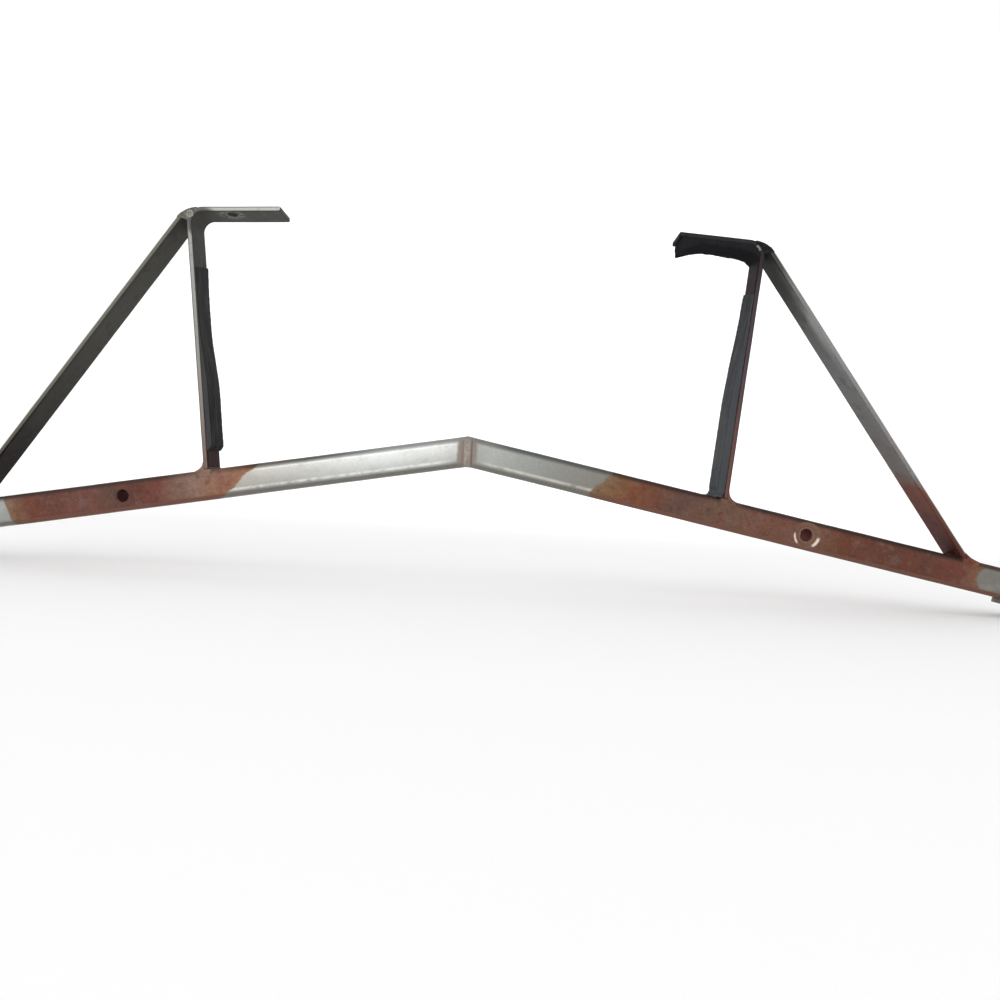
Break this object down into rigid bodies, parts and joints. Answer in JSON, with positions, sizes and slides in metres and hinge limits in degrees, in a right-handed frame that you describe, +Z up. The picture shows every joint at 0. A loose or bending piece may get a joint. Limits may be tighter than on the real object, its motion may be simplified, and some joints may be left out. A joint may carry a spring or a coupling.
{
  "type": "front grille guard",
  "caption": "Peaked square-tube crossbar with bent flat-bar uprights, diagonal braces, inward arms and rubber pads, made to bolt across a truck's frame rails ahead of the grille.",
  "frame": {"origin": "midway between the two frame bolts, in the middle of the tube's depth", "axes": "+X to the right seen from the front, +Y back towards the grille, +Z up"},
  "size_m": [1.5618, 0.0396, 0.4617],
  "materials": {
    "left_tube_steel": "worn bright finish in the middle, rusted brown further out",
    "right_tube_steel": "worn bluish finish in the middle, rusted brown further out",
    "left_bar_steel": "dull grey with bright edges",
    "right_bar_steel": "dark, purple-brown and rusted towards the foot",
    "brace_steel": "olive grey with a bright front edge",
    "weld_steel": "dull rippled weld metal, rusty round the feet",
    "left_pad_rubber": "matt black with grey bloom",
    "right_pad_rubber": "matt, blue-grey bloom with paler streaks",
    "arm_pad_rubber": "matt black",
    "tab_steel": "pale grey",
    "end_plate_steel": "dull grey"
  },
  "bodies": {
    "root": {"crossbar_left": "left_tube_steel", "crossbar_right": "right_tube_steel", "apex_weld_bead": "weld_steel", "left_upright": "left_bar_steel", "right_upright": "right_bar_steel", "left_brace": "brace_steel", "right_brace": "brace_steel", "left_corner_weld": "weld_steel", "right_corner_weld": "weld_steel", "left_upright_foot_weld": "weld_steel", "right_upright_foot_weld": "weld_steel", "left_brace_foot_weld": "weld_steel", "right_brace_foot_weld": "weld_steel", "left_upright_pad": "left_pad_rubber", "right_upright_pad": "right_pad_rubber", "right_arm_pad": "arm_pad_rubber", "left_mounting_tab": "tab_steel", "right_mounting_tab": "tab_steel", "left_tab_weld": "weld_steel", "right_tab_weld": "weld_steel", "left_end_plate": "end_plate_steel", "right_end_plate": "end_plate_steel"}
  },
  "joints": []
}
